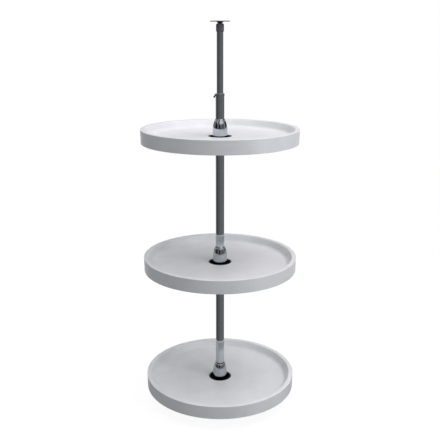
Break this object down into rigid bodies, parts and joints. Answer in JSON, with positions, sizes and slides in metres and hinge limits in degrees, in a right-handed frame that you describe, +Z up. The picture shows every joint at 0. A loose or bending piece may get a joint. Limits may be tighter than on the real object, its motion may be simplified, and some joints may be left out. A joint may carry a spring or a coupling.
{
  "type": "corner cabinet carousel fitting",
  "caption": "Round trays clamped to a telescopic post that turns between a floor flange and a top plate, for a corner cabinet.",
  "frame": {"origin": "centre of the floor flange's underside, on the post's axis", "axes": "+Z up along the post; +X to the right and +Y away from someone facing the lock lever's left-hand side, with the lever at -X"},
  "size_m": [0.457, 0.457, 1.1384],
  "materials": {
    "tray_plastic": "satin moulded white",
    "chrome": "mirror plated",
    "black_nylon": "moulded, matt",
    "grey_nylon": "moulded, matt",
    "acetal": "turned, waxy",
    "zinc_steel": "bright zinc plated",
    "bright_steel": "turned",
    "black_steel": "black oxide"
  },
  "bodies": {
    "base": {"floor_flange": "zinc_steel", "floor_pivot_pin": "bright_steel", "thrust_washer": "acetal"},
    "post": {"outer_tube": "chrome", "foot_plug": "black_nylon", "guide_bush": "black_nylon", "lock_ferrule": "chrome", "brake_shoe": "acetal", "lever_pin": "bright_steel"},
    "lever": {"lock_lever": "black_steel"},
    "inner_post": {"inner_tube": "chrome", "tail_guide": "acetal", "tube_plug": "acetal", "top_cap": "grey_nylon", "top_pivot_pin": "bright_steel"},
    "top_mount": {"top_socket": "black_nylon", "top_plate": "zinc_steel"},
    "tier_bottom": {"tray_bottom": "tray_plastic", "hub_bottom": "black_nylon", "bell_bottom": "chrome", "clamp_bottom": "zinc_steel", "clamp_screw_bottom": "black_steel", "hub_screws_bottom": "zinc_steel"},
    "tier_middle": {"tray_middle": "tray_plastic", "hub_middle": "black_nylon", "bell_middle": "chrome", "clamp_middle": "zinc_steel", "clamp_screw_middle": "black_steel", "hub_screws_middle": "zinc_steel"},
    "tier_top": {"tray_top": "tray_plastic", "hub_top": "black_nylon", "bell_top": "chrome", "clamp_top": "zinc_steel", "clamp_screw_top": "black_steel", "hub_screws_top": "zinc_steel"}
  },
  "joints": [
    {"name": "post_turn", "type": "hinge", "parent": "base", "child": "post", "pos_m": [0, 0, 0.03], "axis": [0, 0, 1], "continuous": true},
    {"name": "post_extend", "type": "slide", "parent": "post", "child": "inner_post", "axis": [0, 0, 1], "range_m": [-0.15, 0.06]},
    {"name": "top_swivel", "type": "hinge", "parent": "inner_post", "child": "top_mount", "pos_m": [0, 0, 1.135], "axis": [0, 0, 1], "continuous": true},
    {"name": "lever_flip", "type": "hinge", "parent": "post", "child": "lever", "pos_m": [-0.0136, 0, 0.936], "axis": [0, 1, 0], "range_deg": [0, 100]},
    {"name": "tray_bottom_height", "type": "slide", "parent": "post", "child": "tier_bottom", "axis": [0, 0, 1], "range_m": [-0.008, 0.1]},
    {"name": "tray_middle_height", "type": "slide", "parent": "post", "child": "tier_middle", "axis": [0, 0, 1], "range_m": [-0.1, 0.1]},
    {"name": "tray_top_height", "type": "slide", "parent": "post", "child": "tier_top", "axis": [0, 0, 1], "range_m": [-0.1, 0.05]}
  ],
  "couplings": [
    {"joint": "top_swivel", "follows": "post_turn", "ratio": -1}
  ]
}
